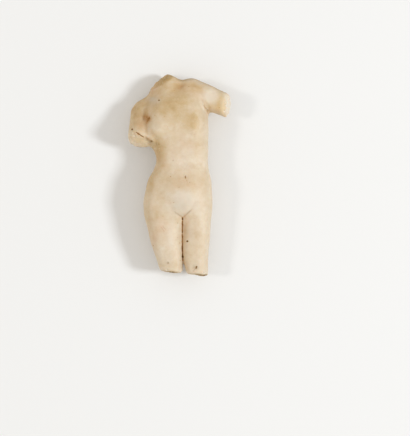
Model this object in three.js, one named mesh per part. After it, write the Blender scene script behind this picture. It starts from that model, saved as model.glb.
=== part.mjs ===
// A small marble torso of a standing woman, broken at the neck, through both upper arms and above the
// knees. It is one block of stone. It lies on its back, as it cannot stand on its uneven break: +Z is up
// out of the chest and belly, +Y runs to the neck and +X to the side of the raised arm. Sizes are
// millimetres. The carving is worked out in the figure's own frame, with x = 0 near the breastbone, y = 0
// at the lower break and z = 0 near the surface it lies on. The finished solid is then brought to its
// exact length and centred over its footprint.

import * as THREE from "three";

// The main sizes of the stone.
const LENGTH = 120; // from the lower break to the peak of the neck break
const FORK = { x: 1.0, y: 35.5 }; // where the two thighs part
const NAVEL = { x: 2.7, y: 58.9 };
const NECK_PIT = { x: -0.3, y: 112.5 };
const TRUNK_SQUARENESS = 2.5; // 2 is an ellipse, higher is nearer a box
const THIGH_SQUARENESS = 2.6;
const BREAK_ROUGH = 0.4; // how far the broken faces wander from flat
const REST_CUT = 0.4; // worn off what the stone lies on: both buttocks and both shoulder blades

// How far the large forms run into each other, and how worn the edges of the breaks are.
const BLEND = { thighs: 0.8, trunk: 4, shoulders: 4, neck: 5, rightArm: 5, leftArm: 1.6 };
const WORN_EDGE = { neck: 1.5, rightArm: 2.5, leftArm: 1.5, thighs: 0.7 };

// The grid that the skin of the stone is drawn on, and its finer columns along the middle of the figure.
const CELL = 2.15;
const FINE_CELL = 1.1;
const FINE_FROM_X = -2.4;
const FINE_TO_X = 4.2;
const GRID = { left: -36, right: 36, low: -4, high: 124, back: -4, front: 32 };
const RELAX_ROUNDS = 12; // times the mesh is evened out
const PROBE = 0.05; // step that the slope of the skin is measured over
const CREASE_STEPS = 24; // straight steps in a carved line

// Level sections of the trunk, from under the fork to the top of the chest. left and right are the
// outline seen from the front, back and front the two faces seen from the side.
const TRUNK = [
  { y: 31, left: -18.4, right: 14.6, back: 4.6, front: 19.0 },
  { y: 36, left: -20.7, right: 17.2, back: 2.4, front: 21.4 },
  { y: 42, left: -21.4, right: 17.6, back: 1.4, front: 23.6 },
  { y: 50, left: -21.0, right: 17.9, back: 2.2, front: 24.8 },
  { y: 57, left: -19.5, right: 17.9, back: 3.8, front: 24.2 },
  { y: 63, left: -16.2, right: 16.7, back: 4.8, front: 23.4 },
  { y: 69, left: -14.5, right: 16.3, back: 4.8, front: 23.2 },
  { y: 76, left: -16.1, right: 16.5, back: 3.6, front: 23.8 },
  { y: 84, left: -16.6, right: 16.0, back: 2.2, front: 24.8 },
  { y: 92, left: -17.4, right: 14.6, back: 1.2, front: 24.6 },
  { y: 99, left: -17.0, right: 12.8, back: 1.2, front: 22.8 },
  { y: 105, left: -15.0, right: 11.6, back: 2.0, front: 19.4 },
  { y: 110, left: -10.5, right: 10.0, back: 3.0, front: 16.4 },
  { y: 114, left: -6.5, right: 8.0, back: 4.0, front: 14.0 },
];

const RIGHT_THIGH = [
  { y: -6, left: -11.6, right: 1.3, back: 6.4, front: 17.6 },
  { y: 4, left: -12.9, right: 1.2, back: 5.2, front: 18.8 },
  { y: 12, left: -15.3, right: 1.5, back: 4.2, front: 20.2 },
  { y: 20, left: -17.9, right: 1.6, back: 3.2, front: 21.4 },
  { y: 28, left: -19.7, right: 1.6, back: 2.4, front: 22.4 },
  { y: 36, left: -20.9, right: 1.4, back: 2.0, front: 22.6 },
  { y: 44, left: -21.1, right: 0.0, back: 2.2, front: 22.4 },
  { y: 52, left: -18.0, right: -3.0, back: 5.0, front: 19.0 },
];

const LEFT_THIGH = [
  { y: -6, left: 4.6, right: 16.1, back: 6.6, front: 17.8 },
  { y: 4, left: 2.7, right: 16.4, back: 5.6, front: 18.8 },
  { y: 12, left: 0.9, right: 16.5, back: 4.6, front: 20.0 },
  { y: 20, left: 0.5, right: 17.2, back: 3.6, front: 21.0 },
  { y: 28, left: 0.5, right: 17.8, back: 2.8, front: 21.6 },
  { y: 36, left: 0.8, right: 17.8, back: 2.4, front: 21.8 },
  { y: 44, left: 2.0, right: 17.4, back: 2.6, front: 21.6 },
  { y: 52, left: 4.0, right: 15.0, back: 5.0, front: 18.5 },
];

const smoothUnion = (a, b, blend) => {
  const h = Math.max(blend - Math.abs(a - b), 0) / blend;
  return Math.min(a, b) - h * h * blend * 0.25;
};
const smoothIntersection = (a, b, blend) => -smoothUnion(-a, -b, blend);

// A limb or trunk drawn through level sections: the distance from a point to its skin, negative inside.
function lofted(sections, squareness) {
  const outline = new THREE.CubicInterpolant(
    sections.map((s) => s.y),
    sections.flatMap((s) => [s.left, s.right, s.back, s.front]),
    4,
  );
  const lowest = sections[0].y;
  const highest = sections.at(-1).y;
  return (x, y, z) => {
    const [left, right, back, front] = outline.evaluate(THREE.MathUtils.clamp(y, lowest, highest));
    const halfWidth = (right - left) / 2;
    const halfDepth = (front - back) / 2;
    const across = Math.abs(x - (left + right) / 2) / halfWidth + 1e-6;
    const through = Math.abs(z - (back + front) / 2) / halfDepth + 1e-6;
    const reach = (across ** squareness + through ** squareness) ** (1 / squareness);
    const slope = Math.hypot(
      (across / reach) ** (squareness - 1) / halfWidth,
      (through / reach) ** (squareness - 1) / halfDepth,
    );
    const side = (reach - 1) / slope;
    const ends = Math.max(lowest - y, y - highest);
    return ends > 0 ? Math.hypot(Math.max(side, 0), ends) : side;
  };
}

// An egg-shaped mass of muscle: centre, half sizes, and a turn about the z axis in degrees.
function mass(centre, radii, turn = 0) {
  const c = Math.cos(THREE.MathUtils.degToRad(turn));
  const s = Math.sin(THREE.MathUtils.degToRad(turn));
  return (x, y, z) => {
    const dx = x - centre[0];
    const dy = y - centre[1];
    const u = (dx * c + dy * s) / radii[0];
    const v = (dy * c - dx * s) / radii[1];
    const w = (z - centre[2]) / radii[2];
    const near = Math.hypot(u, v, w);
    const steep = Math.hypot(u / radii[0], v / radii[1], w / radii[2]);
    return (near * (near - 1)) / Math.max(steep, 1e-6);
  };
}

// A tapering round limb between two points.
function limb(from, to, startRadius, endRadius) {
  const axis = new THREE.Line3(new THREE.Vector3(...from), new THREE.Vector3(...to));
  const point = new THREE.Vector3();
  const nearest = new THREE.Vector3();
  return (x, y, z) => {
    point.set(x, y, z);
    const share = axis.closestPointToPointParameter(point, true);
    axis.at(share, nearest);
    return point.distanceTo(nearest) - THREE.MathUtils.lerp(startRadius, endRadius, share);
  };
}

// A carved line: how far the chisel sinks the skin near a smooth run of points, from one depth to another.
function crease(points, width, startDepth, endDepth = startDepth) {
  const run = new THREE.CatmullRomCurve3(points.map((p) => new THREE.Vector3(...p)));
  const marks = run.getSpacedPoints(CREASE_STEPS);
  return (x, y, z) => {
    let nearest = Infinity;
    let share = 0;
    for (let i = 0; i <= CREASE_STEPS; i++) {
      const away = (marks[i].x - x) ** 2 + (marks[i].y - y) ** 2 + (marks[i].z - z) ** 2;
      if (away < nearest) {
        nearest = away;
        share = i / CREASE_STEPS;
      }
    }
    const depth = THREE.MathUtils.lerp(startDepth, endDepth, share);
    return depth * Math.exp(-nearest / width ** 2);
  };
}

const trunk = lofted(TRUNK, TRUNK_SQUARENESS);
const rightThigh = lofted(RIGHT_THIGH, THIGH_SQUARENESS);
const leftThigh = lofted(LEFT_THIGH, THIGH_SQUARENESS);

const masses = [
  { shape: mass([-10.8, 88.6, 17.6], [9.2, 9.4, 8.8]), blend: 6 }, // breasts
  { shape: mass([6.9, 90.0, 17.4], [8.4, 9.4, 8.8]), blend: 6 },
  { shape: mass([-9.5, 98, 14.0], [9.6, 10, 8.0], -20), blend: 6 }, // chest muscles above them
  { shape: mass([6.4, 100.4, 14.0], [8.3, 9.4, 8.0], 35), blend: 6 },
  { shape: mass([-1.4, 92, 16.0], [7.0, 15, 8.2]), blend: 6 }, // breastbone
  { shape: mass([-9.8, 44.0, 8.6], [10.6, 12, 9.0], 12), blend: 3 }, // buttocks
  { shape: mass([9.2, 42.4, 8.4], [8.8, 11.4, 8.8], -10), blend: 3 },
  { shape: mass([2.6, 50.0, 14.5], [12.5, 11.5, 11.2]), blend: 7 }, // belly
  { shape: mass([0.9, 42.4, 15.2], [6.8, 7.8, 7.6]), blend: 5 }, // mound above the fork
  { shape: mass([-10.5, 96, 7.4], [7.4, 10.5, 7.8], -12), blend: 4 }, // shoulder blades
  { shape: mass([8.6, 98.5, 7.6], [6.6, 10.0, 8.0], 20), blend: 4 },
];

const neck = limb([-6.2, 106, 8.6], [-15.5, 121.8, 7.6], 7.6, 6.3);
const rightShoulder = limb([-5.6, 110.8, 9.0], [-20.8, 98.4, 7.8], 8.0, 6.3);
const leftShoulder = limb([6.4, 109.9, 9.6], [15.7, 106.6, 11.0], 8.4, 7.3);
const rightArm = limb([-22.6, 96.6, 8.4], [-25.7, 72, 21.8], 7.4, 7.1);
const leftArm = limb([15.7, 106.6, 11.2], [33, 98.9, 17.0], 7.1, 6.8);

// A break: the uneven face that the stone stops at, as how far a point is past it. It goes through one
// point and faces along the given direction.
function broken(through, facing) {
  const plane = new THREE.Plane().setFromNormalAndCoplanarPoint(
    new THREE.Vector3(...facing).normalize(),
    new THREE.Vector3(...through),
  );
  const point = new THREE.Vector3();
  return (x, y, z) => {
    const unevenness = Math.sin(0.8 * x + 0.5 * z) * Math.sin(0.6 * y - 0.8 * z + 1);
    return plane.distanceToPoint(point.set(x, y, z)) + BREAK_ROUGH * unevenness;
  };
}

const armBreak = broken([-24, 78.2, 16], [-0.2, -1, 0.68]);
const raisedArmBreak = broken([28.4, 101, 14.6], [1, -0.14, 0.32]);
const neckBreak = broken([-7.6, 121.2, 6.4], [-0.66, 0.75, 0.42]);
const thighBreak = broken([0, 1.4, 12], [-0.11, -1, 0]);

const creases = [
  // between the thighs, in front and behind
  crease([[FORK.x, 37, 21], [FORK.x, 22, 20], [FORK.x, 8, 19.5], [2.2, -2, 19]], 1.1, 0.6, 2.0),
  crease([[0.8, 36, 3], [1.0, 20, 4], [1.6, 8, 5]], 1.1, 1.4, 2.0),
  // the two lines of the groin
  crease([[FORK.x, FORK.y, 20.5], [-3.6, 38.8, 22], [-6.4, 47, 24]], 1.5, 0.8, 0),
  crease([[FORK.x, FORK.y, 20.5], [5.6, 38.8, 22], [9.4, 47, 24]], 1.5, 0.8, 0),
  // navel, pit of the neck and fold of the waist
  crease([[NAVEL.x, NAVEL.y + 0.4, 25.5], [NAVEL.x, NAVEL.y - 0.6, 25.5]], 1.2, 1.0),
  crease([[NECK_PIT.x, NECK_PIT.y, 15.2], [NECK_PIT.x, 108, 17.4]], 2.4, 0.6, 0),
  crease([[-11, 67, 20], [2.6, 64.6, 23.6], [12, 65.8, 20]], 2.2, 0.3),
  // the hollow between the lowered arm and the breast, and the line down from it
  crease([[-19.2, 101, 16], [-20.0, 93, 17]], 2.2, 0, 1.0),
  crease([[-20.0, 93, 17], [-19.2, 86, 20], [-17.4, 79, 18]], 2.2, 1.0, 0.8),
  // spine and cleft
  crease([[-0.6, 110, 2], [-0.4, 90, 1], [0.4, 74, 2.8], [0.8, 64, 4], [0.6, 53, 2.6]], 2.4, 0.6, 1.1),
  crease([[0.6, 56, 2.4], [0.6, 44, 1.5], [0.8, 32, 3]], 1.7, 0.8, 2.8),
  // folds under the buttocks
  crease([[-1, 34.6, 3], [-7, 33, 1.6], [-15, 35.4, 3]], 1.8, 1.1, 0),
  crease([[2, 33.6, 3], [7, 31.6, 1.8], [14, 33.6, 3]], 1.8, 1.1, 0),
];

// The whole stone: how far a point is outside its skin.
function stone(x, y, z) {
  let skin = smoothUnion(rightThigh(x, y, z), leftThigh(x, y, z), BLEND.thighs);
  skin = smoothUnion(skin, trunk(x, y, z), BLEND.trunk);
  for (const { shape, blend } of masses) skin = smoothUnion(skin, shape(x, y, z), blend);
  const shoulders = smoothUnion(rightShoulder(x, y, z), leftShoulder(x, y, z), BLEND.shoulders);
  skin = smoothUnion(skin, shoulders, BLEND.shoulders);
  const brokenNeck = smoothIntersection(neck(x, y, z), neckBreak(x, y, z), WORN_EDGE.neck);
  const brokenRightArm = smoothIntersection(rightArm(x, y, z), armBreak(x, y, z), WORN_EDGE.rightArm);
  const brokenLeftArm = smoothIntersection(leftArm(x, y, z), raisedArmBreak(x, y, z), WORN_EDGE.leftArm);
  skin = smoothUnion(skin, brokenNeck, BLEND.neck);
  skin = smoothUnion(skin, brokenRightArm, BLEND.rightArm);
  skin = smoothUnion(skin, brokenLeftArm, BLEND.leftArm);
  for (const line of creases) skin += line(x, y, z);
  return smoothIntersection(skin, thighBreak(x, y, z), WORN_EDGE.thighs);
}

// Grid lines across one axis, closer together between fineFrom and fineTo.
function gridLines(low, high, fineFrom = high, fineTo = high) {
  const lines = [low];
  while (lines.at(-1) < high) {
    const at = lines.at(-1);
    lines.push(at + (at >= fineFrom && at < fineTo ? FINE_CELL : CELL));
  }
  return lines;
}

// Draws a closed skin round everything where the field is negative: one point in each grid cell that the skin
// passes through, and one four-sided face round each grid edge that it crosses.
function skinOf(field, xs, ys, zs) {
  const nx = xs.length;
  const ny = ys.length;
  const nz = zs.length;
  const at = (i, j, k) => (k * ny + j) * nx + i;
  const values = new Float64Array(nx * ny * nz);
  for (let k = 0; k < nz; k++)
    for (let j = 0; j < ny; j++)
      for (let i = 0; i < nx; i++) values[at(i, j, k)] = field(xs[i], ys[j], zs[k]);

  const points = [];
  const pointOfCell = new Int32Array(nx * ny * nz).fill(-1);
  const corners = [];
  for (let c = 0; c < 8; c++) corners.push([c & 1, (c >> 1) & 1, (c >> 2) & 1]);
  const edges = [];
  for (let a = 0; a < 8; a++) for (const bit of [1, 2, 4]) if (!(a & bit)) edges.push([a, a | bit]);

  for (let k = 0; k < nz - 1; k++)
    for (let j = 0; j < ny - 1; j++)
      for (let i = 0; i < nx - 1; i++) {
        const middle = new THREE.Vector3();
        let crossings = 0;
        for (const [a, b] of edges) {
          const [ca, cb] = [corners[a], corners[b]];
          const va = values[at(i + ca[0], j + ca[1], k + ca[2])];
          const vb = values[at(i + cb[0], j + cb[1], k + cb[2])];
          if (va < 0 === vb < 0) continue;
          const share = va / (va - vb);
          middle.x += THREE.MathUtils.lerp(xs[i + ca[0]], xs[i + cb[0]], share);
          middle.y += THREE.MathUtils.lerp(ys[j + ca[1]], ys[j + cb[1]], share);
          middle.z += THREE.MathUtils.lerp(zs[k + ca[2]], zs[k + cb[2]], share);
          crossings++;
        }
        if (!crossings) continue;
        pointOfCell[at(i, j, k)] = points.length;
        points.push(middle.divideScalar(crossings));
      }

  const quads = [];
  const steps = [[1, 0, 0], [0, 1, 0], [0, 0, 1]];
  for (let k = 1; k < nz - 1; k++)
    for (let j = 1; j < ny - 1; j++)
      for (let i = 1; i < nx - 1; i++)
        steps.forEach((step, axis) => {
          const inside = values[at(i, j, k)] < 0;
          if (inside === values[at(i + step[0], j + step[1], k + step[2])] < 0) return;
          const u = steps[(axis + 1) % 3];
          const v = steps[(axis + 2) % 3];
          const cell = (du, dv) =>
            pointOfCell[at(i - du * u[0] - dv * v[0], j - du * u[1] - dv * v[1], k - du * u[2] - dv * v[2])];
          const quad = [cell(0, 0), cell(1, 0), cell(1, 1), cell(0, 1)];
          quads.push(inside ? quad : quad.reverse());
        });
  return { points, quads };
}

// Evens out the mesh: each point moves to the middle of its neighbours and back onto the skin.
function relax({ points, quads }, field) {
  const neighbours = points.map(() => new Set());
  for (const quad of quads)
    quad.forEach((p, i) => {
      neighbours[p].add(quad[(i + 1) % 4]);
      neighbours[p].add(quad[(i + 3) % 4]);
    });
  const slope = new THREE.Vector3();
  const settle = (p) => {
    for (let pass = 0; pass < 2; pass++) {
      const here = field(p.x, p.y, p.z);
      slope.set(
        field(p.x + PROBE, p.y, p.z) - field(p.x - PROBE, p.y, p.z),
        field(p.x, p.y + PROBE, p.z) - field(p.x, p.y - PROBE, p.z),
        field(p.x, p.y, p.z + PROBE) - field(p.x, p.y, p.z - PROBE),
      );
      slope.divideScalar(2 * PROBE);
      const move = THREE.MathUtils.clamp(here / Math.max(slope.lengthSq(), 0.25), -CELL / 2, CELL / 2);
      p.addScaledVector(slope, -move);
    }
  };
  for (let round = 0; round < RELAX_ROUNDS; round++) {
    const moved = points.map((p, i) => {
      const middle = new THREE.Vector3();
      for (const n of neighbours[i]) middle.add(points[n]);
      return middle.divideScalar(neighbours[i].size).lerp(p, 0.5);
    });
    points.forEach((p, i) => {
      p.copy(moved[i]);
      settle(p);
    });
  }
}

// Splits each face along its shorter diagonal.
function geometryOf({ points, quads }) {
  const triangles = quads.flatMap(([a, b, c, d]) =>
    points[a].distanceTo(points[c]) < points[b].distanceTo(points[d])
      ? [a, b, c, a, c, d]
      : [a, b, d, b, c, d],
  );
  const geometry = new THREE.BufferGeometry();
  geometry.setAttribute("position", new THREE.Float32BufferAttribute(points.flatMap((p) => p.toArray()), 3));
  geometry.setIndex(triangles);
  geometry.computeVertexNormals();
  return geometry;
}

const skin = skinOf(
  stone,
  gridLines(GRID.left, GRID.right, FINE_FROM_X, FINE_TO_X),
  gridLines(GRID.low, GRID.high),
  gridLines(GRID.back, GRID.front),
);
relax(skin, stone);

// The stone lies on four small worn flats: what would be lower than their level is brought up to it.
const restLevel = Math.min(...skin.points.map((p) => p.z)) + REST_CUT;
for (const p of skin.points) p.z = Math.max(p.z, restLevel);

const geometry = geometryOf(skin);
geometry.computeBoundingBox();
const { min: low, max: high } = geometry.boundingBox;
geometry.translate(-(low.x + high.x) / 2, -(low.y + high.y) / 2, -low.z);
const toSize = LENGTH / (high.y - low.y);
geometry.scale(toSize, toSize, toSize);

const marble = new THREE.MeshStandardMaterial({ color: 0xe3ceb0, roughness: 0.55, metalness: 0 });
const torso = new THREE.Mesh(geometry, marble);
torso.name = "marble_torso";

const part = new THREE.Group();
part.add(torso);
export default part;
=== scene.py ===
# %% [markdown]
# # A small broken torso of marble
#
# The real thing is a carved torso about as long as a hand, lying on its back on a pale board. It is
# one block of stone, so this lesson makes one piece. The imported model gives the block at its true
# size, cut roughly into facets. A carver would now change from the point to finer chisels, rasps
# and sand. We do the same: smooth the block, carve the lines, rough up the breaks, pit the skin and
# then stain it.

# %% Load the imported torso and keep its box
import math

import bpy
import numpy as np
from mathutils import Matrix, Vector, noise


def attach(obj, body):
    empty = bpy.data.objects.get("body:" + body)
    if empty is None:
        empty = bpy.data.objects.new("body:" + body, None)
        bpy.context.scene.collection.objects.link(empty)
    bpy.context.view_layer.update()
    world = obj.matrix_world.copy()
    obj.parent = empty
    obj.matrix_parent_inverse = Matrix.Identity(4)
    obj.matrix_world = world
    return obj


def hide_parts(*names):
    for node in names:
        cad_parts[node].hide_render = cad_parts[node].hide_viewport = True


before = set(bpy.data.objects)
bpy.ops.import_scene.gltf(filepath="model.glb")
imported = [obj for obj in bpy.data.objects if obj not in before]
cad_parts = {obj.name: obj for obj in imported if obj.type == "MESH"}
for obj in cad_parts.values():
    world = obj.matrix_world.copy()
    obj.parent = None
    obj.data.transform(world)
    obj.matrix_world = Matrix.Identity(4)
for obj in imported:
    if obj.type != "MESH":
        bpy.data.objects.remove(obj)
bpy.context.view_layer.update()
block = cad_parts["marble_torso"]
MM = 0.001

# %% [markdown]
# ## The block, smoothed
#
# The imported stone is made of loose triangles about 2 mm across. We never change it, we work on a
# copy. Its triangles are first sewn together by merging doubles, and turned back into the quads
# that they were split from, because a subdivision surface runs smoothly over quads and lumpily over
# triangles. Two levels of subdivision give faces of half a millimetre, fine enough for the marks of
# a small chisel.

# %% Copy the block, sew it and smooth it
SEW_WITHIN = 0.001 * MM
QUAD_LIMIT = math.radians(70)  # how far two triangles may bend and skew and still make a quad
SMOOTH_LEVELS = 2


def work_on(piece):
    """Makes the piece the only selected and the active object."""
    bpy.ops.object.select_all(action="DESELECT")
    piece.select_set(True)
    bpy.context.view_layer.objects.active = piece


def apply_modifier(piece, kind, **settings):
    """Adds a modifier, sets it up and applies it at once."""
    work_on(piece)
    modifier = piece.modifiers.new(kind.title(), kind)
    for name, value in settings.items():
        setattr(modifier, name, value)
    bpy.ops.object.modifier_apply(modifier=modifier.name)


torso = bpy.data.objects.new("torso", block.data.copy())
bpy.context.collection.objects.link(torso)
work_on(torso)
bpy.ops.object.mode_set(mode="EDIT")
bpy.ops.mesh.select_all(action="SELECT")
bpy.ops.mesh.remove_doubles(threshold=SEW_WITHIN)
bpy.ops.mesh.tris_convert_to_quads(face_threshold=QUAD_LIMIT, shape_threshold=QUAD_LIMIT)
bpy.ops.object.mode_set(mode="OBJECT")
apply_modifier(torso, "SUBSURF", levels=SMOOTH_LEVELS, render_levels=SMOOTH_LEVELS)
print("smoothed stone:", len(torso.data.polygons), "faces")

# %% [markdown]
# ## Reading and moving the skin
#
# Carving is moving the points of the skin inwards where the chisel goes. We read all the points
# into one numpy array, move them and write them back, which is the same as pushing them by hand
# with a soft brush, but gives the same result each time. Places are read off the photograph, so
# they are given as the camera sees them, in millimetres from the middle of the torso. A ray from
# the camera through such a place finds the skin there, so that each line lies on the stone whatever
# the form under it. Left and right in the names are the body's own.

# %% Say where the camera stands
PIXEL = 0.5914 * MM  # what one pixel of the photograph covers on the torso
PHOTO_SIZE = (410, 436)
TORSO_AT = (179.28, 174.64)  # where the middle of the torso is in the photograph
VIEW_LEVEL = 12 * MM  # the level at which places are measured
CAMERA_HEIGHT = 0.8  # above that level

camera_place = np.array([
    (PHOTO_SIZE[0] / 2 - TORSO_AT[0]) * PIXEL,
    (TORSO_AT[1] - PHOTO_SIZE[1] / 2) * PIXEL,
    VIEW_LEVEL + CAMERA_HEIGHT,
])
print("camera at", np.round(camera_place, 3), "m")

# %% Helpers to read and move the skin


def read_vectors(items, name):
    """One vector for each item of a mesh, as the rows of an array."""
    vectors = np.empty(3 * len(items))
    items.foreach_get(name, vectors)
    return vectors.reshape(-1, 3)


def skin_points(piece):
    return read_vectors(piece.data.vertices, "co")


def skin_normals(piece):
    return read_vectors(piece.data.vertex_normals, "vector")


def move_skin(piece, moves):
    piece.data.vertices.foreach_set("co", (skin_points(piece) + moves).ravel())
    piece.data.update()


print("points of the skin:", len(skin_points(torso)))

# %% Helpers to find a place on the skin


def drop_on(piece, x, y):
    """The point of the skin that the camera sees at x and y, in mm at the level of the view."""
    aim = np.array([x * MM, y * MM, VIEW_LEVEL]) - camera_place
    hit, place, _, _ = piece.ray_cast(Vector(camera_place), Vector(aim / np.linalg.norm(aim)))
    if not hit:
        raise ValueError(f"nothing of {piece.name} is seen at {x}, {y}")
    return np.array(place)


def as_seen(points):
    """Where the camera sees the points, as x and y in mm at the level of the view."""
    nearer = CAMERA_HEIGHT / (camera_place[2] - points[:, 2])
    return (camera_place[:2] + (points[:, :2] - camera_place[:2]) * nearer[:, None]) / MM


def drape(piece, spots, steps=8):
    """A smooth line over the skin through a few spots, each x and y in mm."""
    spots = [Vector(spot).to_3d() for spot in spots]
    ends = [2 * spots[0] - spots[1], *spots, 2 * spots[-1] - spots[-2]]
    line = []
    for a, b, c, d in zip(ends, ends[1:], ends[2:], ends[3:]):
        for t in np.linspace(0, 1, steps, endpoint=False):
            curve = 2 * b + (c - a) * t
            curve += (2 * a - 5 * b + 4 * c - d) * t**2
            curve += (3 * b - a - 3 * c + d) * t**3
            line.append(drop_on(piece, curve.x / 2, curve.y / 2))
    line.append(drop_on(piece, spots[-1].x, spots[-1].y))
    return np.array(line)


def near_line(points, line):
    """How far each point is from a line, and its share of the way along it."""
    nearest = np.full(len(points), np.inf)
    share = np.zeros(len(points))
    for i, (start, end) in enumerate(zip(line, line[1:])):
        step = end - start
        along = np.clip((points - start) @ step / max(step @ step, 1e-12), 0, 1)
        away = np.linalg.norm(points - start - along[:, None] * step, axis=1)
        closer = away < nearest
        nearest[closer] = away[closer]
        share[closer] = (i + along[closer]) / (len(line) - 1)
    return nearest, share


print("the fork of the thighs is at", np.round(drop_on(torso, 1.7, -25.2) / MM, 1), "mm")

# %% [markdown]
# ## Where the stone needs finer faces
#
# Half a millimetre is too coarse for a crack or a pit. Splitting every face again would make four
# times as many, so we only split those along the cuts, round the pits and on the broken ends. The
# faces are chosen by their place, and split in edit mode, as by hand. So the cuts, the pits and the
# breaks are named first, and carved later.

# %% Name the cuts
CUTS = {
    # name: (spots as seen, half width, depth at the start, depth at the end), in mm
    "groove": ([(1.9, -25.5), (1.8, -33.1), (1.8, -42.1), (2.1, -50.5)], 0.8, 0.4, 0.5),
    "right_groin": ([(1.4, -25.1), (-0.4, -23.7), (-2.6, -21.9)], 0.65, 0.35, 0.05),
    "left_groin": ([(2.4, -25.1), (4.6, -23.3), (7.2, -20.9)], 0.65, 0.3, 0.05),
    "arm_crack": ([(-25.4, 25.0), (-23.5, 23.7), (-21.4, 22.4)], 0.45, 0.5, 0.3),
    "armpit": ([(14.3, 41.2), (16.5, 38.5)], 0.5, 0.35, 0.6),
    "navel": ([(3.5, -0.9), (3.6, -2.0)], 0.5, 0.6, 0.45),
    "thigh_scratch_high": ([(-10.6, -31.1), (-9.0, -33.5)], 0.25, 0.12, 0.05),
    "thigh_scratch_low": ([(-9.7, -30.5), (-8.4, -32.3)], 0.22, 0.08, 0.1),
    "knee_scratch": ([(9.6, -55.2), (8.4, -57.0)], 0.3, 0.2, 0.05),
    "belly_scratch": ([(4.2, -3.4), (5.4, -5.6)], 0.25, 0.05, 0.03),
}


def away_from_cut(points, name):
    """How far each point is from the line of a cut, as it lies on the torso now."""
    away, _ = near_line(points, drape(torso, CUTS[name][0]))
    return away


print("cuts:", ", ".join(CUTS))

# %% Name the pits and the chips
PITS = {
    # name: (x, y, radius, depth), as seen in mm
    "shoulder": (-12.0, 43.9, 0.55, 0.45),
    "lowered_arm": (-27.8, 26.7, 0.7, 0.55),
    "crease_end": (-16.5, 19.8, 0.8, 0.2),
    "left_thigh": (4.7, -39.4, 0.75, 0.6),
    "left_knee": (10.2, -54.5, 0.65, 0.6),
    "left_knee_low": (10.0, -55.2, 0.6, 0.45),
    "right_knee": (-6.7, -52.2, 0.8, 0.18),
    "groove_top": (1.9, -26.3, 0.7, 0.6),
    "groove_middle": (1.7, -34.0, 0.5, 0.4),
    "groove_low": (2.1, -48.5, 1.0, 0.7),
    "beside_groove_high": (-1.0, -28.6, 0.3, 0.2),
    "beside_groove_low": (-1.0, -37.2, 0.3, 0.15),
    "belly_high": (4.5, -3.6, 0.3, 0.12),
    "belly_low": (6.1, -4.6, 0.35, 0.15),
    "breast": (-7.0, 28.2, 0.25, 0.12),
    "waist": (-3.7, 8.3, 0.5, 0.1),
    "outside_thigh": (-15.3, -41.9, 0.4, 0.2),
}

CHIPS = {
    # name: (x, y, radius, depth), as seen in mm: they are clean, unlike the pits
    "arm_end_high": (27.0, 43.0, 0.8, 0.4),
    "arm_end_middle": (27.5, 41.0, 0.9, 0.5),
    "arm_end_low": (26.5, 37.6, 0.8, 0.4),
    "lowered_arm_high": (-27.2, 24.6, 0.7, 0.3),
    "lowered_arm_low": (-26.5, 23.1, 0.7, 0.3),
    "right_thigh": (-7.2, -56.4, 1.0, 0.4),
    "left_thigh": (14.5, -58.2, 1.0, 0.4),
}

dishes = (*PITS.values(), *CHIPS.values())
print("pits and chips:", len(dishes))

# %% Name the breaks
BREAKS = {
    # name: (a point on the break, the way it faces, how far it reaches from the point), in mm
    "neck": ((-10.4, 57.0, 6.5), (-0.66, 0.75, 0.42), 10),
    "lowered_arm": ((-22.9, 17.7, 16.0), (-0.2, -1.0, 0.68), 13),
    "raised_arm": ((29.0, 40.3, 14.6), (1.0, -0.14, 0.32), 11),
    "thighs": ((0.9, -58.3, 12.1), (-0.11, -1.0, 0.0), 22),
}


def break_facing(name):
    facing = np.array(BREAKS[name][1])
    return facing / np.linalg.norm(facing)


def past_break(points, name):
    """How far the points are past the plane of a break, and whether they belong to it."""
    through, _, reach = BREAKS[name]
    away = points - np.array(through) * MM
    return away @ break_facing(name), np.linalg.norm(away, axis=1) < reach * MM


print("breaks:", ", ".join(BREAKS))

# %% Split the faces that need it
CUT_MARGIN = 0.35 * MM
BREAK_DEPTH = 0.6 * MM
BREAK_FACES = 0.5  # how much a face has to look the way of its break, where 1 is straight
PIT_REACH = 1.45  # share of a pit's radius within which the faces are finer
DEEP_CUTS = ("arm_crack", "armpit", "groove", "navel")
DEEP_CUT_REACH = 1.2  # share of the half width of these within which the faces are finest


def split_faces(piece, chosen):
    """Splits the chosen faces into four each."""
    work_on(piece)
    bpy.ops.object.mode_set(mode="EDIT")
    bpy.ops.mesh.select_mode(type="FACE")
    bpy.ops.mesh.select_all(action="DESELECT")
    bpy.ops.object.mode_set(mode="OBJECT")
    piece.data.polygons.foreach_set("select", chosen)
    bpy.ops.object.mode_set(mode="EDIT")
    bpy.ops.mesh.subdivide(number_cuts=1, ngon=False)
    bpy.ops.object.mode_set(mode="OBJECT")


centres = read_vectors(torso.data.polygons, "center")
face_normals = read_vectors(torso.data.polygons, "normal")
chosen = np.zeros(len(centres), bool)
for name in BREAKS:
    past, belongs = past_break(centres, name)
    turned = face_normals @ break_facing(name)
    chosen |= belongs & (past > -BREAK_DEPTH) & (turned > BREAK_FACES)
for name, (_, width, _, _) in CUTS.items():
    chosen |= away_from_cut(centres, name) < width * MM + CUT_MARGIN
split_faces(torso, chosen)

centres = read_vectors(torso.data.polygons, "center")
chosen = np.zeros(len(centres), bool)
for x, y, radius, _ in dishes:
    away = np.linalg.norm(centres - drop_on(torso, x, y), axis=1)
    chosen |= away < PIT_REACH * radius * MM
for name in DEEP_CUTS:
    chosen |= away_from_cut(centres, name) < DEEP_CUT_REACH * CUTS[name][1] * MM
split_faces(torso, chosen)
print("stone with finer faces:", len(torso.data.polygons), "faces")

# %% [markdown]
# ## Soft forms
#
# A body has forms that the rough block only hints at: the collar bones, the folds under the breasts
# and round the armpits, the arch of the ribs, the line down the belly and the soft ends of the
# groin. A rasp leaves them as low waves with no edge, so each is a wide line with the bell shape of
# a Gaussian, and the ridges are simply negative depths.

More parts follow.
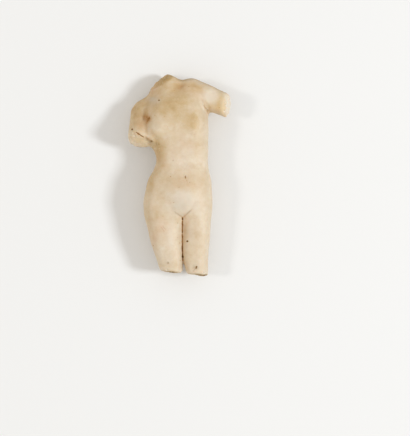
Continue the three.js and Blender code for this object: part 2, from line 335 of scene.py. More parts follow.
# %% Model the soft forms
SOFT_FORMS = {
    # name: (spots as seen, width, depth at the start, middle and end), in mm
    "right_collar_bone": ([(-1.8, 50.6), (-7.8, 49.2), (-14.2, 45.1)], 1.8, -0.05, -0.2, 0.0),
    "left_collar_bone": ([(2.7, 51.2), (8.7, 50.8), (15.1, 48.2)], 1.8, -0.05, -0.2, 0.0),
    "under_right_breast": ([(-16.3, 24.3), (-12.3, 21.3), (-5.3, 21.9)], 2.2, 0.25, 0.25, 0.0),
    "under_left_breast": ([(3.8, 24.7), (8.8, 23.9), (13.4, 27.1)], 1.8, 0.05, 0.25, 0.1),
    "armpit_fold": ([(12.4, 44.0), (13.1, 41.0), (15.3, 38.0)], 1.0, -0.1, -0.45, -0.3),
    "above_armpit": ([(14.5, 43.6), (15.5, 41.2), (17.3, 39.4)], 1.2, 0.1, 0.4, 0.4),
    "rib_arch_right": ([(0.6, 18.3), (-4.4, 14.3), (-9.4, 7.3)], 2.4, 0.0, 0.12, 0.0),
    "rib_arch_left": ([(1.0, 18.3), (6.2, 14.3), (11.2, 7.7)], 2.4, 0.0, 0.12, 0.0),
    "belly_line": ([(0.8, 17.7), (1.8, 9.7), (3.1, 1.3)], 2.0, 0.05, 0.15, 0.05),
    "above_the_mound": ([(-4.8, -11.8), (2.2, -10.4), (9.2, -11.6)], 2.0, 0.0, 0.1, 0.0),
    "right_groin_fold": ([(-3.2, -20.7), (-5.8, -16.8), (-9.4, -12.2)], 1.5, 0.12, 0.1, 0.0),
    "left_groin_fold": ([(7.4, -20.7), (9.8, -17.2), (12.8, -12.8)], 1.5, 0.1, 0.1, 0.0),
    "armpit_corner": ([(16.5, 38.2), (17.2, 37.4)], 1.2, 0.3, 0.6, 0.7),
    "end_of_the_crease": ([(-20.4, 23.1), (-17.6, 21.1), (-12.3, 17.4)], 1.3, -0.3, -0.5, -0.2),
    "below_the_hollow": ([(-18.4, 29.3), (-17.9, 25.7), (-16.9, 21.2)], 1.6, -0.25, -0.45, -0.35),
    "hollow_of_the_arm": ([(-18.4, 35.2), (-18.2, 32.9), (-18.5, 30.1)], 1.8, 0.1, 0.2, 0.0),
}

for spots, width, *depths in SOFT_FORMS.values():
    points = skin_points(torso)
    away, share = near_line(points, drape(torso, spots))
    depth = np.interp(share, [0, 0.5, 1], depths) * MM
    push = depth * np.exp(-((away / (width * MM)) ** 2))
    move_skin(torso, -push[:, None] * skin_normals(torso))
print("soft forms:", ", ".join(SOFT_FORMS))

# %% [markdown]
# ## The cut lines
#
# The groove between the thighs, the two lines of the groin, the crease of the armpit and the navel
# were cut with an edge tool. The crack across the lowered arm and a few scratches came later. All
# are narrow and V-shaped, and their depth wanders because stone crumbles. Their points go straight
# in, against the light, so that the two banks stay apart.

# %% Cut the lines
CRUMBLE = 0.3  # share of the depth that comes and goes along a cut
CRUMBLE_SIZE = 1.4 * MM
BANK_CURVE = 1.3  # 1 gives straight banks, more makes them hollow


def wander(points, size, seed):
    """A number between about -1 and 1 at each point, that wanders over a distance of size."""
    offset = Vector((seed, 2 * seed, 3 * seed))
    return np.array([noise.noise(Vector(p) / size + offset) for p in points])


def cut(piece, spots, width, start_depth, end_depth, seed):
    """Cuts a V-shaped line into the skin, and says how deep it went."""
    points = skin_points(piece)
    away, share = near_line(points, drape(piece, spots))
    touched = away < width * MM
    depth = np.interp(share[touched], [0, 1], [start_depth, end_depth]) * MM
    depth *= 1 + CRUMBLE * wander(points[touched], CRUMBLE_SIZE, seed)
    bank = 1 - away[touched] / (width * MM)
    inwards = -skin_normals(piece)[touched] - np.array([0, 0, 1])
    inwards /= np.linalg.norm(inwards, axis=1)[:, None]
    moves = np.zeros_like(points)
    moves[touched] = (depth * bank**BANK_CURVE)[:, None] * inwards
    move_skin(piece, moves)
    return depth.max() / MM


for seed, (name, (spots, width, start_depth, end_depth)) in enumerate(CUTS.items(), start=2):
    deepest = cut(torso, spots, width, start_depth, end_depth, seed)
    print(f"{name}: cut to {deepest:.2f} mm")

# %% [markdown]
# ## The broken ends
#
# Marble breaks like lump sugar: the face follows the crystals, so it is made of many small flat
# spots with crisp little steps, and no part of it is smooth. Two Displace modifiers with procedural
# textures do that, a broad one for the swells of the break and a cell texture for the crystals. A
# vertex group keeps them on the breaks, and it fades out over their rounded edges.

# %% Rough up the breaks
EDGE_FADE = 0.8 * MM
EDGE_TURN = (0.35, 0.75)  # where a break's edge has turned its way: not at all, and fully


def smoothstep(low, high, value):
    """0 up to low, 1 from high on, and a smooth rise between."""
    t = np.clip((value - low) / (high - low), 0, 1)
    return t * t * (3 - 2 * t)


def on_breaks(piece):
    """1 on the broken faces, 0 on the carved skin, and between the two at the breaks' edges."""
    points = skin_points(piece)
    normals = skin_normals(piece)
    share = np.zeros(len(points))
    for name in BREAKS:
        past, belongs = past_break(points, name)
        turned = smoothstep(*EDGE_TURN, normals @ break_facing(name))
        near = smoothstep(-2 * EDGE_FADE, -EDGE_FADE / 2, past)
        share = np.maximum(share, belongs * turned * near)
    return share


def roughen(piece, group, kind, size, strength):
    """Moves the skin in and out by a procedural texture, where the vertex group is."""
    texture = bpy.data.textures.new(kind.lower(), kind)
    texture.noise_scale = size
    apply_modifier(
        piece, "DISPLACE", texture=texture, texture_coords="LOCAL", direction="NORMAL",
        mid_level=0.5, strength=strength, vertex_group=group,
    )


broken = torso.vertex_groups.new(name="broken")
for index, weight in enumerate(on_breaks(torso)):
    if weight > 0:
        broken.add([index], float(weight), "REPLACE")
roughen(torso, "broken", "CLOUDS", size=3.2 * MM, strength=0.5 * MM)
roughen(torso, "broken", "VORONOI", size=1.3 * MM, strength=0.35 * MM)
print("points on the breaks:", int((on_breaks(torso) > 0.5).sum()))

# %% [markdown]
# ## Pits
#
# Old marble loses single crystals and grows small round pits, and dirt stays in them. The rims of
# the breaks have lost small chips. Each is a dish with a ragged rim: the points inside its radius
# sink, and the radius itself wanders with a little noise.

# %% Sink the pits and the chips
RIM_STRAYS = 0.35  # share of the radius that comes and goes round the rim
RIM_STRAY_SIZE = 0.5  # how long such a bay in the rim is, as a share of the radius
DISH_FLOOR = 0.35  # share of the radius over which a dish is flat
RIM_LIMIT = 1.6  # no bay in the rim reaches past this share of the radius

for seed, (x, y, radius, depth) in enumerate(dishes, start=20):
    points = skin_points(torso)
    centre = drop_on(torso, x, y)
    away = np.linalg.norm(points - centre, axis=1)
    near = away < RIM_LIMIT * radius * MM
    strays = wander(points[near], RIM_STRAY_SIZE * radius * MM, seed)
    ragged = radius * MM * (1 + RIM_STRAYS * strays)
    dish = 1 - smoothstep(DISH_FLOOR, 1.0, away[near] / ragged)
    moves = np.zeros_like(points)
    moves[near] = -(depth * MM * dish)[:, None] * skin_normals(torso)[near]
    move_skin(torso, moves)
print(len(PITS), "pits and", len(CHIPS), "chips sunk")

# %% [markdown]
# ## Made by hand, worn by time
#
# A carved skin is never quite even. The rasp leaves broad shallow facets, and the years take a
# little more from the high places. One more Displace modifier with broad clouds gives the facets,
# and a finer one the sugary wear. Both are weak: a tenth of a millimetre, seen only as a soft break
# in the light.

# %% Give the skin its unevenness
roughen(torso, "", "CLOUDS", size=9 * MM, strength=0.3 * MM)
roughen(torso, "", "CLOUDS", size=2.2 * MM, strength=0.09 * MM)
below_the_board = np.clip(-skin_points(torso)[:, 2], 0, None)
move_skin(torso, np.outer(below_the_board, (0, 0, 1)))  # the spots that it rests on stay level
print(f"spots levelled by up to {below_the_board.max() / MM:.2f} mm")
work_on(torso)
bpy.ops.object.shade_smooth_by_angle(angle=math.radians(60))
triangles = sum(len(face.vertices) - 2 for face in torso.data.polygons)
print("finished stone:", triangles, "triangles")

# %% [markdown]
# ## Where the stone is stained
#
# The colour of old marble tells where it lay and how it was handled. Honey-brown soaks into the
# chest, the shoulders and the flank, dark dirt sits in the cuts and pits, and high places and
# chipped rims are rubbed pale. Some shade is painted in as well: on the sides of the torso, along
# its upper edges and along the lower edges of the thighs. Each kind is written to the mesh as an
# attribute of its own, one number for each point, and the material reads them. A cavity is found by
# comparing the skin with a smoothed copy of itself: what lies below the copy is a hollow, what
# stands above it is a ridge.

# %% Find hollows and ridges
NEAR_ROUNDS = 30
BROAD_ROUNDS = 120
RELIEF = 0.1 * MM


def smoothed(values, edges, rounds):
    """The values after each point has taken the mean of its neighbours a number of times."""
    count = np.bincount(edges.ravel(), minlength=len(values))
    for _ in range(rounds):
        total = np.bincount(edges[:, 0], values[edges[:, 1]], len(values))
        total += np.bincount(edges[:, 1], values[edges[:, 0]], len(values))
        values = 0.5 * values + 0.5 * total / count
    return values


edges = np.empty(len(torso.data.edges) * 2, int)
torso.data.edges.foreach_get("vertices", edges)
edges = edges.reshape(-1, 2)
points = skin_points(torso)
softened = np.column_stack([smoothed(points[:, axis], edges, NEAR_ROUNDS) for axis in range(3)])
above = ((points - softened) * skin_normals(torso)).sum(axis=1)
above -= smoothed(above, edges, BROAD_ROUNDS)
cavity = np.clip(-above / RELIEF, 0, 1)
ridge = np.clip(above / RELIEF, 0, 1)
print(f"hollows {cavity.mean():.3f}, ridges {ridge.mean():.3f} on average")

# %% [markdown]
# ## Painting with soft patches
#
# A stain has no outline, so it is a soft oval patch, full in its middle and falling off like a
# bell. Each patch has a name, a place as the camera sees it, its reach, its turn and its amount,
# and the patches of one kind are added up. The places are first shifted a little by noise, which
# gives the ovals the ragged edges of real stains. A patch fades out where the skin turns to the
# board, because nothing is known of the back.

# %% Helpers to paint the skin
PATCH_FALL = 1.5  # how fast a patch falls off: the larger, the smaller it looks
TURNS_AWAY = (-0.2, 0.3)  # upward share of the normal between which the patches fade out
RAGGED = 1.8  # how far the edges of the stains stray, in mm
RAGGED_SIZE = 5 * MM
DIRT_RAGGED = 0.3  # share of that for the dirt, whose patches are small
CLUMP_SIZE = 1.6 * MM


def patch(seen, x, y, reach_x, reach_y, turn):
    """1 in the middle of an oval patch, falling softly outwards."""
    c, s = math.cos(math.radians(turn)), math.sin(math.radians(turn))
    dx, dy = seen[:, 0] - x, seen[:, 1] - y
    reach = np.hypot((dx * c + dy * s) / reach_x, (dy * c - dx * s) / reach_y)
    return np.exp(-PATCH_FALL * reach**2)


def painted(seen, patches):
    """The sum of a few patches, each with its amount."""
    return sum(amount * patch(seen, *place) for *place, amount in patches.values())


def write_attribute(piece, name, values):
    attribute = piece.data.attributes.new(name, "FLOAT", "POINT")
    attribute.data.foreach_set("value", np.clip(values, 0, 1).astype(np.float32))
    print(f"{name}: {np.clip(values, 0, 1).mean():.3f} on average")


points = skin_points(torso)
normals = skin_normals(torso)
rough_break = on_breaks(torso)
in_front = smoothstep(*TURNS_AWAY, normals[:, 2])
strays = RAGGED * np.column_stack([wander(points, RAGGED_SIZE, seed) for seed in (61, 67)])
seen = as_seen(points) + strays
seen_close = as_seen(points) + DIRT_RAGGED * strays
clumps = wander(points, CLUMP_SIZE, 71)
print("points that can be painted:", int((in_front > 0).sum()))

# %% [markdown]
# ## The honey stain
#
# Iron in the soil turned the stone honey-brown, most of all on the chest, the flank and the stump
# of the neck, and some places were cleaned or rubbed paler again, which are the patches with a
# negative amount. One breast carries a round mark with a crisp lower edge, so that one is a disc
# that only shows inside a soft patch. Some of this honey is painted shade: the skin darkens as it
# turns towards the raised arm, and towards the lowered arm, where it is partly stain as well, and
# along the lower edge of the right thigh.

# %% Paint the honey stain and some painted shade
STAINS_AND_EDGE_SHADE = {
    # name: (x, y, reach along x, reach along y, turn in degrees, amount), as seen in mm
    "breast_bone": (-1.3, 41.6, 10.0, 13.0, 0, 0.16),
    "right_chest": (-9.8, 42.1, 10.0, 9.0, -20, 0.24),
    "neck_stump": (-8.6, 56.0, 6.0, 2.4, 24, 0.46),
    "shoulder_slope": (-14.2, 51.6, 8.0, 2.2, 42, 0.25),
    "pit_of_the_neck": (1.0, 52.5, 4.2, 3.6, 0, 0.5),
    "neck_front": (-3.4, 53.6, 3.0, 2.4, 0, 0.06),
    "left_shoulder": (10.8, 51.6, 6.0, 3.0, -20, 0.35),
    "right_shoulder": (-18.2, 42.6, 5.5, 7.0, 30, 0.2),
    "lowered_arm": (-24.9, 37.6, 5.0, 8.5, 0, 0.35),
    "lowered_arm_low": (-23.3, 29.2, 5.5, 6.0, 0, 0.38),
    "flank": (-12.2, 15.2, 4.6, 9.0, 10, 0.6),
    "side_of_the_waist": (-11.3, 6.3, 4.0, 6.5, 0, 0.3),
    "hip": (-16.9, -4.7, 4.2, 9.5, -8, 0.38),
    "raised_arm_band": (24.7, 42.2, 2.5, 6.8, 8, 0.55),
    "raised_arm_low": (21.1, 39.2, 6.5, 2.6, -18, -0.05),
    "armpit": (16.9, 39.8, 2.4, 2.4, 0, 0.08),
    "belly": (1.7, -4.2, 15.0, 6.5, 0, 0.2),
    "belly_side": (14.6, -5.2, 4.5, 8.0, 0, 0.15),
    "thigh_outside": (-14.7, -28.1, 4.5, 15.0, -12, 0.15),
    "left_thigh_inside": (4.0, -31.1, 2.0, 10.0, 0, 0.1),
    "left_thigh_front": (10.5, -35.7, 4.5, 7.0, 0, 0.08),
    "knee": (-7.8, -54.0, 6.0, 3.5, 0, 0.12),
    # painted shade along the rounded lower edge of the right thigh
    "right_lower_edge_painted_shade": (-4.3, -58.6, 6.5, 0.8, -2, 0.3),
    "waist": (5.2, 6.9, 12.0, 3.2, 0, -0.06),
    "low_belly": (2.2, -14.2, 7.5, 4.5, 0, -0.38),
    "right_thigh_front": (-5.8, -38.1, 5.5, 15.0, -6, -0.12),
    "raised_arm_top": (19.0, 46.6, 6.4, 5.0, -20, -0.7),
    "raised_arm_end": (29.5, 40.6, 1.9, 6.5, 8, -0.95),
    "armpit_ridge": (13.8, 40.2, 0.9, 3.4, 12, -0.4),
    "mound": (2.2, -18.2, 8.0, 6.0, 0, -0.28),
    "under_right_breast": (-13.2, 23.9, 5.0, 3.0, 10, 0.15),
    "right_breast": (-12.6, 26.1, 5.5, 4.2, 10, -0.14),
}
BREAST_STAIN = (6.6, 31.3, 6.3)  # the middle and the radius of the disc, in mm
BREAST_FADE = (8.8, 31.2, 6.4, 7.4, 10)  # where the disc shows, as in the table above
BREAST_AMOUNT = 0.35
BASE_STAIN = 0.22
UPPER_STAIN = 0.2  # more of it above the waist
# painted shade: darker where the skin turns towards either arm, which on the lowered arm's side is
# partly stain as well
STAIN_AND_SHADE_ON_LOWERED_ARM_SIDE = 0.1
PAINTED_SHADE_ON_RAISED_ARM_SIDE = 0.15
BREAK_STAIN = {"neck": 0.15, "lowered_arm": 0.0, "raised_arm": -0.25, "thighs": 0.15}

patina_and_painted_shade = BASE_STAIN + UPPER_STAIN * smoothstep(14 * MM, 42 * MM, points[:, 1])
# painted shade on both sides of the torso, partly stain on the lowered arm's side
patina_and_painted_shade += STAIN_AND_SHADE_ON_LOWERED_ARM_SIDE * smoothstep(0.2, 0.9, -normals[:, 0])
patina_and_painted_shade += PAINTED_SHADE_ON_RAISED_ARM_SIDE * smoothstep(0.2, 0.9, normals[:, 0])
patina_and_painted_shade += in_front * painted(seen, STAINS_AND_EDGE_SHADE)
x, y, radius = BREAST_STAIN
disc = 1 - smoothstep(0.85, 1.0, np.hypot(seen[:, 0] - x, seen[:, 1] - y) / radius)
patina_and_painted_shade += in_front * BREAST_AMOUNT * disc * patch(seen, *BREAST_FADE)
for name, amount in BREAK_STAIN.items():
    _, belongs = past_break(points, name)
    patina_and_painted_shade += amount * belongs * rough_break
write_attribute(torso, "patina_and_painted_shade", patina_and_painted_shade)

# %% [markdown]
# ## Rose, gold and grey
#
# The stain isn't one hue. Where it is thin the stone looks rosy, towards the breaks of the arms it
# turns golden, and where it was never stained the stone is a cool grey. The grey along the tops of
# the shoulders and where the skin turns towards the raised arm, the side that the main lamp lights,
# is painted shade. Each hue gets an attribute of its own, so that the material can lay them over
# each other.

# %% Paint the rose, gold and grey tints, some of the grey as painted shade
ROSY = {
    # name: (x, y, reach along x, reach along y, turn in degrees, amount), as seen in mm
    "lowered_arm": (-23.3, 30.3, 5.0, 6.0, 0, 0.7),
    "side_of_the_waist": (-10.8, 6.3, 4.5, 6.0, 0, 0.4),
    "left_thigh_inside": (4.0, -30.6, 2.2, 10.0, 0, 0.7),
    "left_thigh": (10.5, -35.7, 5.0, 8.0, 0, 0.2),
    "right_thigh": (-9.8, -31.5, 5.0, 6.0, 0, 0.45),
    "outside_thigh": (-14.7, -38.1, 3.5, 10.0, -12, 0.5),
    "neck": (1.0, 52.6, 5.0, 5.0, 0, 0.5),
    "left_shoulder": (9.7, 49.6, 7.0, 5.0, -20, 0.35),
    "right_shoulder": (-14.6, 50.0, 4.6, 3.6, 35, 0.8),
    "ribs": (2.2, 16.7, 10.0, 7.0, 0, 0.3),
    "belly": (4.2, -5.2, 13.0, 6.0, 0, 0.4),
}
GOLD = {
    # name: (x, y, reach along x, reach along y, turn in degrees, amount), as seen in mm
    "lowered_arm_end": (-22.9, 19.7, 5.0, 3.0, -20, 0.6),
    "raised_arm_low": (21.5, 38.9, 6.0, 2.6, -18, 0.6),
    "raised_arm_band": (24.4, 42.0, 3.0, 6.8, 8, 0.6),
    "under_right_breast": (-13.0, 24.3, 4.5, 2.6, 10, 0.3),
}
GREY = {
    # name: (x, y, reach along x, reach along y, turn in degrees, amount), as seen in mm
    "mound": (2.0, -17.2, 8.5, 8.0, 0, 0.6),
    "chest_spot": (-15.1, 43.6, 4.0, 3.2, 0, 0.8),
    # painted shade along the tops of the shoulders
    "shoulder_top_painted_shade": (12.2, 54.4, 8.0, 2.2, -22, 0.5),
    "raised_arm_end": (29.5, 40.6, 1.8, 6.5, 8, 0.7),
    "left_thigh": (7.0, -34.1, 3.0, 7.0, 0, 0.3),
    "right_knee": (-6.7, -52.2, 2.0, 2.4, 0, 0.5),
}
# painted shade: a greyer, darker tone where the skin turns towards the raised arm, the side that
# the main lamp lights
GREY_SHADE_ON_RAISED_ARM_SIDE = 0.5

grey = in_front * painted(seen, GREY)
# painted shade on the side of the raised arm
grey += GREY_SHADE_ON_RAISED_ARM_SIDE * smoothstep(0.3, 0.9, normals[:, 0])
write_attribute(torso, "rose", in_front * painted(seen, ROSY))
write_attribute(torso, "gold", in_front * painted(seen, GOLD))
write_attribute(torso, "grey", grey)

# %% [markdown]
# ## Soil, film and painted shade
#
# Brown soil packs into the hollow of the arm, the crack and the groove, and a thin olive film grows
# where water stood. The pits hold both. The same olive, turning dark brown where it is thick, is
# also painted shade along the edges that face up the body and along the lower edges of the thighs.
# Along a cut the dirt reaches a little way up the banks, and clumps of noise keep that from looking
# like a drawn line.

# %% Paint the soil, the olive film and the painted edge shade
SOIL = {
    # name: (x, y, reach along x, reach along y, turn in degrees, amount), as seen in mm
    "hollow": (-17.8, 33.2, 1.4, 2.2, -8, 0.58),
    "hollow_side": (-19.9, 33.9, 2.3, 2.5, 0, 0.48),
    "hollow_tip": (-18.8, 31.0, 1.2, 2.2, -20, 0.4),
    "below_the_crack": (-18.5, 21.2, 2.6, 0.8, -29, 0.45),
}
FILM_AND_EDGE_SHADE = {
    # name: (x, y, reach along x, reach along y, turn in degrees, amount), as seen in mm
    "below_the_crack": (-18.8, 21.0, 2.9, 1.1, -29, 0.4),
    "crease_end": (-16.6, 19.8, 1.1, 1.0, 0, 0.7),
    "left_knee": (9.7, -54.7, 1.9, 1.9, 0, 0.3),
    "below_the_crease": (-12.4, 17.8, 3.4, 1.4, -29, 0.3),
    "crease": (-17.8, 26.2, 1.1, 4.5, 5, 0.15),
    "neck_stump": (-7.0, 57.0, 4.2, 1.1, 20, 0.25),
    "right_groin": (-1.0, -23.3, 2.8, 0.6, -40, 0.3),
    "left_groin": (5.2, -22.7, 3.0, 0.6, 41, 0.3),
    "armpit": (15.4, 39.8, 2.0, 0.6, -50, 0.3),
    "armpit_corner": (16.6, 38.1, 0.9, 0.9, 0, 0.35),
    # the lower edges of the thighs: painted shade of their rounded rims, in olive that turns dark
    # brown
    "left_lower_edge_painted_shade": (13.6, -59.3, 5.6, 0.8, -7, 1.0),
    "right_lower_edge_painted_shade": (-4.4, -57.9, 7.5, 0.8, -4, 0.8),
}
DIRT_SPREAD = {
    # name of the cut: (how far its dirt reaches to each side in mm, amount)
    "groove": (0.55, 0.9),
    "right_groin": (0.4, 0.15),
    "left_groin": (0.4, 0.15),
    "arm_crack": (0.45, 1.0),
    "armpit": (0.3, 0.15),
    "navel": (0.4, 0.8),
    "thigh_scratch_high": (0.3, 0.25),
    "thigh_scratch_low": (0.3, 0.25),
    "knee_scratch": (0.4, 0.4),
    "belly_scratch": (0.3, 0.08),
}
# painted shade along the edges that face up the body, laid on as olive film
UPPER_EDGE_PAINTED_SHADE = 0.45  # on what faces away from the thighs, such as the tops of the shoulders
CAVITY_SOIL = 0.15
FILM_CLUMPS = 0.6
DIRT_CLUMPS = 0.8
PIT_FILM = (0.85, 2)  # the most film in a pit, and how much it gets for each mm of its depth
PIT_SOIL = 0.45  # share of a pit's film that is brown soil as well


def in_dish(x, y, radius):
    """1 inside a pit or a chip, falling to 0 just past its rim."""
    away = np.linalg.norm(points - drop_on(torso, x, y), axis=1)
    return 1 - smoothstep(0.6, 1.2, away / (radius * MM))


dirt = CAVITY_SOIL * cavity * (1 - rough_break) + in_front * painted(seen_close, SOIL)
film_and_edge_shade = in_front * painted(seen_close, FILM_AND_EDGE_SHADE) * (1 + FILM_CLUMPS * clumps)
# painted shade: olive laid on the edges that face up the body, such as the tops of the shoulders
film_and_edge_shade += UPPER_EDGE_PAINTED_SHADE * smoothstep(0.7, 0.98, normals[:, 1])
for name, (spread, amount) in DIRT_SPREAD.items():
    spread = spread * MM * (1 + DIRT_CLUMPS * clumps)
    dirt = np.maximum(dirt, amount * np.exp(-((away_from_cut(points, name) / spread) ** 2)))
most, for_depth = PIT_FILM
for x, y, radius, depth in PITS.values():
    settled = min(most, for_depth * depth) * in_dish(x, y, radius)
    film_and_edge_shade = np.maximum(film_and_edge_shade, settled)
    dirt = np.maximum(dirt, PIT_SOIL * settled)
write_attribute(torso, "film_and_edge_shade", film_and_edge_shade)
write_attribute(torso, "dirt", dirt)

# %% [markdown]
# ## Rubbed places
#
# Hands and cloths rub the ridges pale, and a chip shows the clean stone inside. These lie over the
# stains, so they are kept in an attribute of their own. The last attribute says where the breaks
# are, because their grain catches the light.

# %% Rub the ridges and the chips pale
RUBBED = {
    # name: (x, y, reach along x, reach along y, turn in degrees, amount), as seen in mm
    "raised_arm_top": (19.0, 46.4, 6.6, 5.0, -20, 0.33),
    "raised_arm_end": (29.2, 40.6, 2.2, 6.5, 8, 0.3),
    "low_belly": (2.2, -14.2, 7.5, 4.5, 0, 0.15),
}
RIDGE_RUB = 0.2
CHIP_RUB = 0.75

fresh = RIDGE_RUB * ridge + in_front * painted(seen, RUBBED)
for x, y, radius, _ in CHIPS.values():
    fresh = np.maximum(fresh, CHIP_RUB * in_dish(x, y, radius))
write_attribute(torso, "fresh", fresh)
write_attribute(torso, "rough_break", rough_break)

# %% [markdown]
# ## The marble
#
# Marble is a mass of small clear crystals, so light sinks in a little and comes out softened: that
# is the subsurface of the Principled shader, with red light going deepest. Its colour is built up
# as on the stone: cream first, then honey stain broken up by clouds of noise, then thin tints of
# rose, straw and slate, then a pale rub on the ridges, then an olive film and brown dirt in the
# hollows, and a few specks. Some of the honey, the slate, the olive and the dark brown is painted
# shade on the sides and along the edges. Fine noise in the bump gives the sugary sparkle, stronger
# on the breaks.

# %% Mix the colours


def srgb(red, green, blue):
    """A colour as seen on a screen, 0 to 255, as the linear colour that a shader takes."""
    return (*(((c / 255 + 0.055) / 1.055) ** 2.4 for c in (red, green, blue)), 1.0)


# some of these also paint shade: the honey ramp darkens the sides, slate tones down the raised
# arm's side and the shoulder tops, and olive with dark brown shades the upper edges and the thighs'
# lower rims
CREAM = srgb(224, 209, 187)
LIGHT_HONEY = srgb(214, 194, 164)
HONEY = srgb(202, 175, 132)
OCHRE = srgb(185, 153, 103)
ROSE = srgb(208, 170, 138)
SLATE = srgb(196, 186, 172)
STRAW = srgb(236, 206, 152)
OLIVE = srgb(132, 107, 62)
BROWN = srgb(168, 110, 38)
DARK_BROWN = srgb(90, 67, 38)
CHALK = srgb(234, 222, 202)
print("cream as a shader takes it:", np.round(CREAM, 2))

# %% Helpers to join the nodes
marble = bpy.data.materials.new("marble")
marble.use_nodes = True
nodes = marble.node_tree.nodes
links = marble.node_tree.links
nodes.clear()


def feed(socket, value):
    """Links the socket to the output of another node, or sets it to a number or a colour."""
    if isinstance(value, bpy.types.NodeSocket):
        links.new(value, socket)
    else:
        socket.default_value = value


def add(kind, **settings):
    """Adds a node: names that are its inputs are fed, the rest are its properties."""
    node = nodes.new(kind)
    for name, value in settings.items():
        socket = node.inputs.get(name.replace("_", " "))
        if socket is None:
            setattr(node, name, value)
        else:
            feed(socket, value)
    return node


def combine(operation, a, b, clamp=False):
    """The result of a sum on two sockets or numbers."""
    node = add("ShaderNodeMath", operation=operation, use_clamp=clamp)
    feed(node.inputs[0], a)
    feed(node.inputs[1], b)
    return node.outputs[0]


def blended(amount, under, over):
    """The colour over laid on the colour under by an amount."""
    mix = add("ShaderNodeMix", data_type="RGBA")
    for index, value in ((0, amount), (6, under), (7, over)):
        feed(mix.inputs[index], value)
    return mix.outputs[2]


def attribute(name):
    return add("ShaderNodeAttribute", attribute_name=name).outputs["Fac"]


print("marble: ready for its nodes")

# %% Lay the honey, with its painted side shade, over the cream
place = add("ShaderNodeTexCoord").outputs["Object"]


def clouds(size, detail=4.0, rough=0.55):
    """Noise on the stone whose clouds are about size metres across."""
    texture = add(
        "ShaderNodeTexNoise", Vector=place, Scale=1 / size, Detail=detail, Roughness=rough
    )
    return texture.outputs[0]


broad = clouds(14 * MM)
middle = clouds(4 * MM)
fine = clouds(0.9 * MM)

stain_and_painted_shade = attribute("patina_and_painted_shade")
for cloud, amount in ((broad, 0.75), (middle, 0.6), (fine, 0.3)):
    stain_and_painted_shade = combine("ADD", stain_and_painted_shade, combine("MULTIPLY", combine("SUBTRACT", cloud, 0.5), amount))
ramp = add("ShaderNodeValToRGB", Fac=stain_and_painted_shade)
ramp.color_ramp.elements[0].color = CREAM
ramp.color_ramp.elements[1].color = OCHRE
for position, colour in ((0.32, LIGHT_HONEY), (0.7, HONEY)):
    ramp.color_ramp.elements.new(position).color = colour
print("honey over cream:", len(nodes), "nodes")

# %% Lay the tints, the rub, the dirt and the painted edge shade over it
TINTS = {"rose": (ROSE, 0.5), "gold": (STRAW, 0.7), "grey": (SLATE, 0.6)}
# the grime and the painted edge shade turn dark brown past this
CORE_FROM = 0.65  # how thick the grime is where it starts to turn dark
CORE_GAIN = 2


def patchy(name, cloud, least):
    """An attribute broken up by clouds, where least is what they leave of it at their thinnest."""
    return combine("MULTIPLY", attribute(name), combine("ADD", cloud, least), clamp=True)


colour = ramp.outputs["Color"]
for name, (tint, strength) in TINTS.items():
    colour = blended(combine("MULTIPLY", attribute(name), strength), colour, tint)
colour = blended(patchy("fresh", middle, 0.5), colour, CHALK)
film_and_edge_shade = patchy("film_and_edge_shade", fine, 0.5)
soil = patchy("dirt", fine, 0.55)
grime_and_edge_shade = combine("MAXIMUM", film_and_edge_shade, soil)
core = combine("MULTIPLY", combine("SUBTRACT", grime_and_edge_shade, CORE_FROM, clamp=True), CORE_GAIN)
for amount, coat in ((film_and_edge_shade, OLIVE), (soil, BROWN), (core, DARK_BROWN)):
    colour = blended(amount, colour, coat)
print("marble with its dirt:", len(nodes), "nodes")

# %% Add a few specks
SPECK_SPACING = 5 * MM
SPECK_SIZE = 0.07  # share of the spacing
SPECK_CLOUDS = 0.52  # specks stay out of the clouds below this
SPECK_STRENGTH = 0.6

cells = add("ShaderNodeTexVoronoi", Vector=place, Scale=1 / SPECK_SPACING).outputs["Distance"]
small = combine("LESS_THAN", cells, SPECK_SIZE)
speck = combine("MULTIPLY", small, combine("GREATER_THAN", middle, SPECK_CLOUDS))
colour = blended(combine("MULTIPLY", speck, SPECK_STRENGTH), colour, BROWN)
print("marble colours:", len(nodes), "nodes")

# %% Its shine and its grain
SHINE = 0.5  # roughness of the clean stone
BREAK_ROUGHER = 0.2
GRIME_ROUGHER = 0.4
GRIME_DULLER = 0.45
GRAIN_HEIGHT = 0.06 * MM
BREAK_GRAIN = 0.25  # how much of that is left on the carved skin

broken_here = attribute("rough_break")
roughness = combine("ADD", SHINE, combine("MULTIPLY", middle, 0.15))
roughness = combine("ADD", roughness, combine("MULTIPLY", broken_here, BREAK_ROUGHER))
roughness = combine("ADD", roughness, combine("MULTIPLY", grime_and_edge_shade, GRIME_ROUGHER), clamp=True)
crystals = clouds(0.35 * MM, detail=2.0)
height = combine("ADD", combine("MULTIPLY", fine, 0.6), combine("MULTIPLY", crystals, 0.4))
grain = combine("ADD", BREAK_GRAIN, combine("MULTIPLY", broken_here, 1 - BREAK_GRAIN))
height = combine("MULTIPLY", height, grain)
bump = add("ShaderNodeBump", Height=height, Distance=GRAIN_HEIGHT, Strength=1.0)
skin = add(
    "ShaderNodeBsdfPrincipled",
    Base_Color=colour,
    Roughness=roughness,
    IOR=1.49,
    Specular_IOR_Level=combine("SUBTRACT", 0.5, combine("MULTIPLY", grime_and_edge_shade, GRIME_DULLER)),
    Normal=bump.outputs[0],
    Subsurface_Weight=0.25,
    Subsurface_Radius=(1.0, 0.62, 0.38),
    Subsurface_Scale=1.6 * MM,
)
add("ShaderNodeOutputMaterial", Surface=skin.outputs[0])

torso.data.materials.clear()
torso.data.materials.append(marble)
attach(torso, "root")
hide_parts("marble_torso")
print("marble: finished with", len(nodes), "nodes")

# %% [markdown]
# ## The board, the light and the camera
#
# The torso was photographed from straight above on a pale board. In the picture one lamp stands low
# on the right and a weaker one on the left, and much warm light is thrown back from all round. That
# makes a soft grey shadow on the left and a faint one on the right. Two area lamps and a bright,
# slightly warm world do the same. The camera stands over the middle of the picture, not over the
# torso, so it sees the torso a little from the picture's lower right.

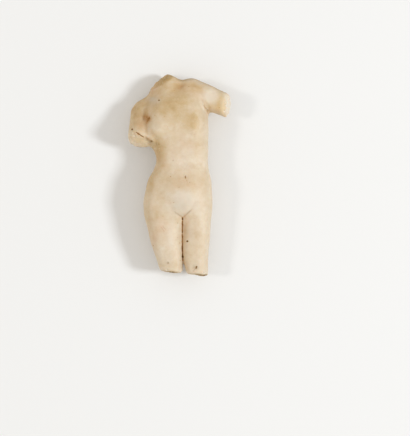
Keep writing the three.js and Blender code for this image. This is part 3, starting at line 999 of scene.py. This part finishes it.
# %% Lay the board
FLOOR = srgb(236, 236, 235)
FLOOR_SIDE = 4.0

bpy.ops.object.select_all(action="DESELECT")
bpy.ops.mesh.primitive_plane_add(size=FLOOR_SIDE)
board = bpy.context.object
board.name = "board"
paper = bpy.data.materials.new("paper")
paper.use_nodes = True
paper.node_tree.nodes["Principled BSDF"].inputs["Base Color"].default_value = FLOOR
paper.node_tree.nodes["Principled BSDF"].inputs["Roughness"].default_value = 0.8
board.data.materials.append(paper)
print("board:", FLOOR_SIDE, "m square")

# %% Set the lamps and the room
LAMP_DISTANCE = 2.5
LAMPS = {
    # name: (heading, 0 is +X, and elevation in degrees, side in metres, watts, tint)
    "window": (-3, 40.5, 0.44, 30, (0.95, 1.0, 1.05)),
    "reflector": (180, 47.5, 0.37, 8.6, (1.0, 0.98, 0.95)),
}
ROOM_COLOUR = (1.0, 0.97, 0.93, 1)
ROOM_BRIGHTNESS = 0.685

for name, (heading, elevation, side, watts, tint) in LAMPS.items():
    heading, elevation = math.radians(heading), math.radians(elevation)
    level = math.cos(elevation)
    direction = Vector((level * math.cos(heading), level * math.sin(heading), math.sin(elevation)))
    bpy.ops.object.light_add(type="AREA", location=LAMP_DISTANCE * direction)
    lamp = bpy.context.object
    lamp.name = name
    lamp.data.size = side
    lamp.data.energy = watts
    lamp.data.color = tint
    lamp.rotation_euler = direction.to_track_quat("Z", "Y").to_euler()

world = bpy.data.worlds.new("room")
world.use_nodes = True
world.node_tree.nodes["Background"].inputs["Color"].default_value = ROOM_COLOUR
world.node_tree.nodes["Background"].inputs["Strength"].default_value = ROOM_BRIGHTNESS
bpy.context.scene.world = world
print("lamps:", ", ".join(LAMPS))

# %% Set the camera
SENSOR = 36.0

bpy.ops.object.camera_add(location=camera_place)
camera = bpy.context.object
camera.data.sensor_width = SENSOR
camera.data.lens = SENSOR * CAMERA_HEIGHT / (PHOTO_SIZE[1] * PIXEL)
bpy.context.scene.camera = camera
bpy.context.scene.view_settings.view_transform = "Standard"
print("camera looks down with a lens of", round(camera.data.lens, 1), "mm")
